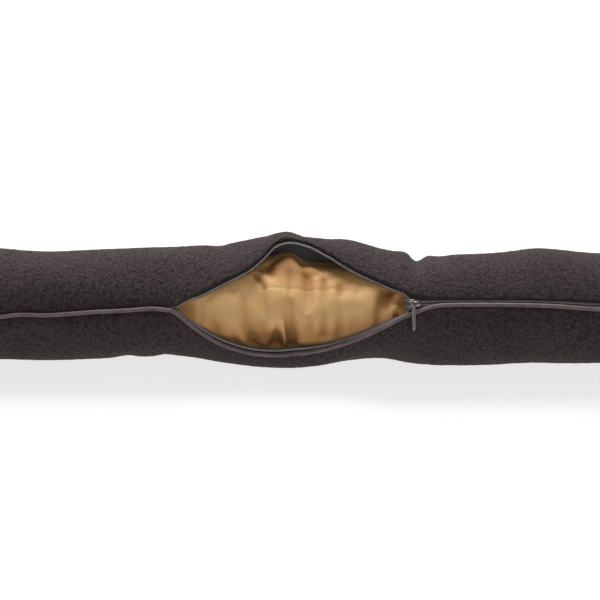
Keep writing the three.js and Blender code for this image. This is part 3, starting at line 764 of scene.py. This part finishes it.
half, wide, narrow = SLIDER_LENGTH / 2, SLIDER_WIDE / 2, SLIDER_NARROW / 2
nose = [(-half - 0.6 * math.cos(t) ** 2, wide * 0.9 * math.sin(t)) for t in np.linspace(-1.3, 1.3, 7)]
plate_outline = nose[::-1] + [(-half + 1, -wide), (0, -wide), (half - 0.8, -narrow), (half, -narrow + 0.7),
                              (half, narrow - 0.7), (half - 0.8, narrow), (0, wide), (-half + 1, wide)]
slider_mesh = bmesh.new()
for low in (CHANNEL / 2, -CHANNEL / 2 - PLATE):
    bevelled_block(slider_mesh, plate_outline, low, low + PLATE, PLATE_BEVEL)
for sign in (-1, 1):
    side_wall = [(0.2, sign * (wide - 0.9)), (half - 0.6, sign * (narrow - 0.7)),
                 (half - 0.6, sign * (narrow - 0.05)), (0.2, sign * (wide - 0.1))]
    side_wall = side_wall[::sign]
    bevelled_block(slider_mesh, side_wall, CHANNEL / 2 - WALL_DROP, CHANNEL / 2 + WALL_BITE, WALL_BEVEL)
    bevelled_block(slider_mesh, side_wall, -CHANNEL / 2 - WALL_BITE, -CHANNEL / 2 + WALL_DROP, WALL_BEVEL)
post_left, post_right, post = -half, -half + POST_LENGTH, POST_WIDTH / 2
post_outline = [(post_left, -post), (post_right - POST_NOSE, -post), (post_right, 0),
                (post_right - POST_NOSE, post), (post_left, post)]
bevelled_block(slider_mesh, post_outline, -CHANNEL / 2 - POST_BITE, CHANNEL / 2 + POST_BITE, POST_BEVEL)
foot = CHANNEL / 2 + PLATE / 2
arch_half = [(BRIDGE_SPAN / 2, 0), (BRIDGE_SPAN * 0.46, BRIDGE_HEIGHT * 0.65),
             (BRIDGE_SPAN * 0.31, BRIDGE_HEIGHT)]
arch = [(px, 0, foot + pz) for px, pz in arch_half]
arch += [(-px, 0, pz) for px, _, pz in arch[::-1]]
arch_path = curve_through(arch, 33)
arch_bar = circle(12, BRIDGE_BAR / 2) * np.array([1.25, 1.0])
arch_rings = sweep(arch_path, np.broadcast_to([0.0, 1.0, 0.0], arch_path.shape), arch_bar[None])
arch_points, arch_faces = loft(arch_rings)
arch_verts = [slider_mesh.verts.new(p) for p in arch_points]
for corners in arch_faces:
    slider_mesh.faces.new([arch_verts[c] for c in corners])
slider = metal_piece("slider_body", slider_mesh, slider_place, gunmetal, "zip_slider")


# Zip pull
# A pressed metal pull: a round eye on the slider's bridge and a slim tapering tab that hangs
# down in front of the lower lip.
EYE, EYE_HOLE = 3.4, 2.2
PULL_LENGTH, PULL_TOP, PULL_TIP = 25, 3.7, 3
PULL_THICKNESS, PULL_BEVEL = 0.9, 0.3
TIP_ROUND, TIP_CORNER = 1.4, 0.4
PULL_TURN, PULL_LEAN = 31, 6
EYE_BELOW_BAR = 0.9

nickel = plated_finish("nickel_wear_and_highlight", (0.26, 0.226, 0.217), (0.62, 0.56, 0.545))

arch_top = arch_path[len(arch_path) // 2]
pull_place = slider_place @ Matrix.Translation((0, -EYE_BELOW_BAR, arch_top[2]))
pull_place = pull_place @ Matrix.Rotation(math.radians(-PULL_LEAN), 4, "X")
pull_place = pull_place @ Matrix.Rotation(math.radians(PULL_TURN), 4, "Y")
pull_mesh = bmesh.new()
shoulder = math.asin(PULL_TOP / 2 / EYE)
turns = np.linspace(-math.pi / 2 + shoulder, 1.5 * math.pi - shoulder, 37)
eye_ring = [(EYE * math.cos(t), EYE * math.sin(t)) for t in turns]
hole_ring = [(EYE_HOLE * math.cos(t), EYE_HOLE * math.sin(t)) for t in turns]
right_tip = [(PULL_TIP / 2 - TIP_ROUND, -PULL_LENGTH),
             (PULL_TIP / 2 - TIP_CORNER, -PULL_LENGTH + TIP_CORNER),
             (PULL_TIP / 2, -PULL_LENGTH + TIP_ROUND)]
tip = [(-px, py) for px, py in right_tip[::-1]] + right_tip
low, high = -PULL_THICKNESS / 2, PULL_THICKNESS / 2
outer = eye_ring + tip
skins = {}
for z in (low, high):
    skins[z] = [[pull_mesh.verts.new((*p, z)) for p in ring] for ring in (outer, hole_ring)]
rim_edges = []
for z in (low, high):
    rim_points, hole_points = skins[z]
    for k in range(len(eye_ring) - 1):
        pull_mesh.faces.new((rim_points[k], rim_points[k + 1], hole_points[k + 1], hole_points[k]))
    pull_mesh.faces.new([hole_points[0], hole_points[-1], *rim_points[len(eye_ring) - 1:], rim_points[0]])
for ring in (0, 1):
    near, far = skins[low][ring], skins[high][ring]
    for k in range(len(near)):
        n = (k + 1) % len(near)
        wall = pull_mesh.faces.new((near[k], near[n], far[n], far[k]))
        rim_edges += [e for e in wall.edges if (e.verts[0].co.z - e.verts[1].co.z) ** 2 < 1e-6]
bmesh.ops.recalc_face_normals(pull_mesh, faces=pull_mesh.faces)
bmesh.ops.bevel(pull_mesh, geom=list(set(rim_edges)), offset=PULL_BEVEL, segments=3, profile=0.6,
                affect="EDGES")
pull = metal_piece("pull_tab", pull_mesh, pull_place, nickel, "zip_pull")


# Inner bag
# A casing of tan cotton sateen stuffed with loose fibre, which fills the cover. Where the zip is
# open it bulges between the lips, in soft folds that run in from the stuffing.
BAG_SLACK = 1.8
BAG_FLOOR = 3.4
BAG_COLUMNS = 64
BAG_FRONT = 35
BAG_CROWDING = 0.45
SEAM_DENT, SEAM_DENT_SPREAD = 5, 19
DENT_GAP, DENT_RUN_OUT = 20, 14
BAG_PLACES, BAG_STEPS = (-412, -125, 112, 412), (5, 2.5, 5)
UNDER_LIP, PAST_LIP = 8, 4
BAG_FOLDS = table(
    "x angle depth along around",
    (30, 116, -11, 40, 46), (-9, 106, 8.5, 13, 50), (-9, 5, -3, 8, 34), (-20, -10, -2.5, 8, 20),
    (-22, 38, 2, 9, 34), (-41, 30, -2, 10, 36), (8, 48, -2, 10, 36), (77, 38, -3, 10, 26),
    (101, 35, -2.5, 16, 20),
)
# The folds of the casing where it shows, each from one place to another: soft troughs, and ridges
# where the depth is below 0.
BAG_CREASES = table(
    "x angle end_x end_angle bow width end_width depth end_depth",
    (-21.5, -36, -20.5, 10, 0.5, 7, 3, 8.5, 2),
    (-14, -36, -15.5, 16, -1, 2.2, 2, -4, -1.2),
    (-6, -36, -9.5, 30, 1.5, 6.6, 3.4, 6.6, 1.6),
    (-40, 67, -33, 50, 0, 1.8, 2.4, 4, 1.4),
    (-33, 50, -32, 26, 0, 2.6, 3, 2, 0.8),
    (-36, -36, -50, 40, 3, 6, 5.5, 3.6, 2.8),
    (-57, -36, -60, 0, 0, 6.5, 4, 6, 0.8),
    (-23, 12, -29, 60, 0, 6, 6, -2.2, -1),
    (-9.5, 34, -9, 68, 0, 2.6, 3, 1.8, 1),
    (6, 66, 8, 8, 0.8, 3, 4.5, 2.2, 1.2),
    (14.5, 62, 16, 5, 0, 3.6, 4, -1.2, -0.8),
    (21.5, 60, 20.5, -2, -0.8, 2.6, 4, 2, 1.6),
    (29, 54, 28, 5, 0, 3.6, 4, -1, -0.6),
    (36, 52, 34, -6, 0.6, 2.6, 4.4, 1.6, 1.8),
    (50, 46, 46, 6, 0.6, 3, 4, 1, 0.8),
    (68, 12, 78, 48, 2, 3.6, 5.5, 2.5, 4.5),
    (80, 24, 88, 32, 1.5, 2.6, 2.6, -2, -2),
    (85, 21, 86.5, 23, 0, 2, 2, 5, 4),
    (90, 33, 92, 42, 0, 3.2, 3, 2, 2),
    (-68, -12, -80, 22, 1, 5, 4, 1.6, 0.6),
    (-58, 47, 45, 48, 0.6, 1.1, 1.1, 0.55, 0.4),
    (-30, 95, -25, 62, 0, 3.6, 4, 2.4, 1),
    (2, 92, 4, 70, 0, 4, 4, 2, 1),
)
# Painted shade on the casing's colour: under the raised upper lip and in the hollow above the lower
# one. It is painted light where the depth is below 0.
BAG_SHADES = table(
    "x angle depth along around",
    (-16, 80, 0.7, 26, 42), (30, 62, 0.32, 26, 36), (-17, -26, 0.36, 18, 34), (-33, -2, 0.42, 11, 26),
    (80, 46, 0.2, 8, 14), (-90, 22, -0.15, 14, 26), (52, 28, -0.15, 18, 26), (-27, 30, -0.12, 8, 24),
    (12, -2, 0.2, 20, 22), (36, -12, -0.3, 26, 16),
)
TUCK, TUCK_WIDTH = 0.4, 6
# Painted shade: the casing's colour darkens with the depth of its creases and of the tuck.
CREASE_PAINTED_SHADE = 0.085
LIP_SHADE, LIP_SHADE_WIDTH = 0.2, 12
LOW_SHADE, LOW_SHADE_UP, LOW_SHADE_WIDTH = 0.42, 10, 16
LIGHTEST, DARKEST = -0.2, 0.8
# The cloth that a degree round the bag takes up.
DEGREE = 0.84
SWELL_FRAMES = 20
SWELL_MOST = 3
SINK_MOST = 3
ASIDE_MOST = 2.5


def bag_radius(x, angle):
    """The bag fills the cover, gives way to the seam and is creased where it shows."""
    lips = lips_at(x)
    pressed = np.clip(1 - (lips["gap"] - DENT_GAP) / DENT_RUN_OUT, 0, 1)
    dent = SEAM_DENT * pressed * fade(angle, (lips["upper"] + lips["lower"]) / 2, SEAM_DENT_SPREAD)
    room = np.minimum(plain_radius(angle), lying_radius(x, angle)) - CLOTH - BAG_SLACK
    return room - dent + folds(BAG_FOLDS, x, angle)


def bag_angle(points):
    """The angle of points round the tube's axis."""
    back = points[:, 1] - read(BODY, "sway", points[:, 0])
    return np.degrees(np.arctan2(points[:, 2] - AXIS_HEIGHT, -back))


def shows(points):
    """How far a place on the bag is in the open: 1 between the lips, 0 under the cover."""
    angle, lips = bag_angle(points), lips_at(points[:, 0])
    below_upper = smooth(lips["upper"] - angle, -UNDER_LIP, PAST_LIP)
    return below_upper * smooth(angle - lips["lower"], -UNDER_LIP, PAST_LIP)


def mesh_points(mesh):
    """The points of a mesh, in millimetres."""
    flat = np.empty(len(mesh.vertices) * 3, np.float32)
    mesh.vertices.foreach_get("co", flat)
    return flat.reshape(-1, 3).astype(float) / MM


def move_points(mesh, points):
    """Puts the points of a mesh at new places."""
    mesh.vertices.foreach_set("co", (points * MM).astype(np.float32).ravel())
    mesh.update()


def mesh_normals(mesh):
    """The normals of a mesh at its points."""
    flat = np.empty(len(mesh.vertices) * 3, np.float32)
    mesh.vertex_normals.foreach_get("vector", flat)
    return flat.reshape(-1, 3).astype(float)


def sateen_finish():
    """Tan cotton sateen: a close smooth weave with a soft sheen. Its colour carries painted shade in its
    creases, under the upper lip and above the lower lip, and painted light in a few places.
    """
    finish, tree, shader = finish_of("tan_sateen", Roughness=0.62, Sheen_Weight=0.1,
                                     Sheen_Roughness=0.4, Sheen_Tint=(1.0, 0.85, 0.62, 1),
                                     Specular_IOR_Level=0.18)
    at = node(tree, "TexCoord").outputs["Object"]
    painted_shade = node(tree, "Attribute", attribute_name="painted_shade").outputs["Fac"]
    warp = node(tree, "TexWave", {"Vector": at, "Scale": 520.0, "Distortion": 0.5},
                bands_direction="X").outputs["Fac"]
    weft = node(tree, "TexWave", {"Vector": at, "Scale": 620.0, "Distortion": 0.5},
                bands_direction="Z").outputs["Fac"]
    weave = math_node(tree, "ADD", warp, weft)
    slub = node(tree, "TexNoise", {"Vector": at, "Scale": 35.0, "Detail": 4.0}).outputs["Fac"]
    tone = math_node(tree, "MULTIPLY_ADD", slub, 0.3, math_node(tree, "MULTIPLY", weave, 0.05))
    # Painted shade: the mesh's painted shade attribute darkens the colour, and where it is below 0 it is
    # painted light.
    tone = math_node(tree, "SUBTRACT", math_node(tree, "ADD", tone, 0.75), painted_shade)
    colour = ramp(tree, tone, (0.0, 0.055, 0.024, 0.011), (0.22, 0.25, 0.115, 0.037),
                  (0.45, 0.39, 0.195, 0.067), (0.85, 0.6, 0.36, 0.155))
    link(tree, shader, "Base Color", colour)
    bump = node(tree, "Bump", {"Strength": 0.25, "Distance": 0.00015, "Height": weave})
    link(tree, shader, "Normal", bump.outputs["Normal"])
    return finish


bag_half = HALF_LENGTH - CLOTH - BAG_SLACK
bag_ends = bag_half - np.array([0.5, 2, 4, 7, 11, 15, 20, 26])
straight = steps_between(BAG_PLACES, BAG_STEPS)
x_bag = np.sort(np.concatenate([-bag_ends, straight, bag_ends]))
share = np.arange(BAG_COLUMNS) / BAG_COLUMNS
share = share - BAG_CROWDING * np.sin(2 * np.pi * share) / (2 * np.pi)
bag_columns = (BAG_FRONT + 360 * share)[None, :]
x_bag = x_bag[:, None]
reach = np.abs(x_bag) * HALF_LENGTH / bag_half
bag_points = place(x_bag, bag_columns, bag_radius(x_bag, bag_columns) * end_scale(reach), BAG_FLOOR)
bag = make_piece("stuffed_bag", *loft(bag_points), sateen_finish(), "casing")

# The casing is cut a little large. The cover holds it all round the opening, and the stuffing
# swells it out between the lips, which wrinkles the spare cloth.
rest, rest_normals = mesh_points(bag.data), mesh_normals(bag.data)
in_open = shows(rest)
held = bag.vertex_groups.new(name="held")
for k, share in enumerate(1 - in_open):
    held.add([k], float(share), "REPLACE")
stuffing = bag.modifiers.new("stuffing", "CLOTH")
stuffing.settings.vertex_group_mass = "held"
stuffing.settings.quality = 6
stuffing.settings.mass = 0.12
stuffing.settings.tension_stiffness = 20
stuffing.settings.compression_stiffness = 20
stuffing.settings.shear_stiffness = 6
stuffing.settings.bending_stiffness = 4
stuffing.settings.use_pressure = True
stuffing.settings.uniform_pressure_force = 4
stuffing.settings.shrink_min = -0.025
stuffing.settings.effector_weights.gravity = 0
stuffing.collision_settings.use_collision = False
for step in range(1, SWELL_FRAMES + 1):
    bpy.context.scene.frame_set(step)
swollen = bag.evaluated_get(bpy.context.evaluated_depsgraph_get())
moved = mesh_points(swollen.data) - rest
bag.modifiers.remove(stuffing)
bag.vertex_groups.remove(held)
bpy.context.scene.frame_set(1)
outward = np.sum(moved * rest_normals, axis=1, keepdims=True)
aside = moved - outward * rest_normals
outward = np.clip(outward, -SINK_MOST, SWELL_MOST)
slid = np.linalg.norm(aside, axis=1, keepdims=True)
aside = aside * np.minimum(1, ASIDE_MOST / np.maximum(slid, 1e-6))
move_points(bag.data, rest + (outward * rest_normals + aside) * in_open[:, None])

finer = bag.modifiers.new("finer", "SUBSURF")
finer.levels = finer.render_levels = 1
bag.data = bpy.data.meshes.new_from_object(bag.evaluated_get(bpy.context.evaluated_depsgraph_get()))
bag.modifiers.remove(finer)
points, normals = mesh_points(bag.data), mesh_normals(bag.data)
along, around = points[:, 0], bag_angle(points) * DEGREE
depth = np.zeros(len(points))
for from_x, from_angle, to_x, to_angle, bow, wide, end_wide, deep, end_deep in zip(*BAG_CREASES.values()):
    run = np.array([to_x - from_x, (to_angle - from_angle) * DEGREE])
    away_x, away_y = along - from_x, around - from_angle * DEGREE
    t = np.clip((away_x * run[0] + away_y * run[1]) / (run @ run), 0, 1)
    side = bow * 4 * t * (1 - t) / np.linalg.norm(run)
    away_x, away_y = away_x - t * run[0] + side * run[1], away_y - t * run[1] - side * run[0]
    width = wide + (end_wide - wide) * t
    depth += (deep + (end_deep - deep) * t) * np.exp(-(away_x**2 + away_y**2) / width**2)
above_lip = around - lips_at(along)["lower"] * DEGREE
depth += TUCK * np.exp(-((np.maximum(above_lip, 0) / TUCK_WIDTH) ** 2))
below_lip = lips_at(along)["upper"] * DEGREE - around
# Painted shade in the casing's colour: in its creases, under the upper lip and in the hollow above the
# lower lip, with painted light where a shade row is below 0.
painted_shade = CREASE_PAINTED_SHADE * depth + folds(BAG_SHADES, along, around / DEGREE)
painted_shade += LIP_SHADE * np.exp(-((np.maximum(below_lip, 0) / LIP_SHADE_WIDTH) ** 2))
painted_shade += LOW_SHADE * np.exp(-(((above_lip - LOW_SHADE_UP) / LOW_SHADE_WIDTH) ** 2))
seen = shows(points)
points = points - normals * (depth * seen)[:, None]
points[:, 2] = np.maximum(points[:, 2], BAG_FLOOR)
move_points(bag.data, points)
shade = bag.data.attributes.new("painted_shade", "FLOAT", "POINT")
shade.data.foreach_set("value", np.clip(painted_shade * seen, LIGHTEST, DARKEST).astype(np.float32))
bag.data.shade_smooth()
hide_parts("inner_bag")


# Floor, light and camera
# A plain pale studio floor under soft light from above, seen from the front and a little above.
FLOOR_SIZE, FLOOR_BELOW, FLOOR_GLOW = 12, 0.0005, 0.75
CAMERA_DISTANCE, CAMERA_ELEVATION = 2.0, 30
CAMERA_TARGET = Vector((0, 0, 0.0494))
VIEW_WIDTH, SENSOR_WIDTH = 0.55, 36

floor_mesh = bpy.data.meshes.new("floor")
edge = FLOOR_SIZE / 2
floor_corners = [(-edge, -edge, 0), (edge, -edge, 0), (edge, edge, 0), (-edge, edge, 0)]
floor_mesh.from_pydata(floor_corners, [], [(0, 1, 2, 3)])
floor = bpy.data.objects.new("floor", floor_mesh)
floor.location.z = -FLOOR_BELOW
bpy.context.scene.collection.objects.link(floor)
floor_finish, tree, shader = finish_of("pale_floor", Roughness=0.9, Specular_IOR_Level=0.1,
                                       Emission_Color=(1, 1, 1, 1), Emission_Strength=FLOOR_GLOW)
at = node(tree, "TexCoord").outputs["Object"]
grain = node(tree, "TexNoise", {"Vector": at, "Scale": 3.0, "Detail": 2.0}).outputs["Fac"]
link(tree, shader, "Base Color", ramp(tree, grain, (0.3, 0.21, 0.21, 0.21), (0.7, 0.23, 0.23, 0.23)))
floor_mesh.materials.append(floor_finish)


def soft_light(name, place_at, size, watts):
    """A large square lamp that faces the part."""
    lamp = bpy.data.lights.new(name, "AREA")
    lamp.size = size
    lamp.energy = watts
    made = bpy.data.objects.new(name, lamp)
    made.location = place_at
    made.rotation_euler = (CAMERA_TARGET - Vector(place_at)).to_track_quat("-Z", "Y").to_euler()
    bpy.context.scene.collection.objects.link(made)


soft_light("overhead", (-0.2, 1.5, 1.9), size=1.6, watts=125)
soft_light("front", (0.3, -2.4, 1.1), size=1.6, watts=17)
world = bpy.data.worlds.new("studio")
world.use_nodes = True
world.node_tree.nodes["Background"].inputs["Color"].default_value = (1, 1, 1, 1)
world.node_tree.nodes["Background"].inputs["Strength"].default_value = 0.25
bpy.context.scene.world = world
bpy.context.scene.view_settings.view_transform = "Standard"

camera_data = bpy.data.cameras.new("camera")
camera_data.sensor_width = SENSOR_WIDTH
camera_data.lens = SENSOR_WIDTH * CAMERA_DISTANCE / VIEW_WIDTH
camera = bpy.data.objects.new("camera", camera_data)
tilt = math.radians(CAMERA_ELEVATION)
camera.location = CAMERA_TARGET + CAMERA_DISTANCE * Vector((0, -math.cos(tilt), math.sin(tilt)))
camera.rotation_euler = (CAMERA_TARGET - camera.location).to_track_quat("-Z", "Y").to_euler()
bpy.context.scene.collection.objects.link(camera)
bpy.context.scene.camera = camera
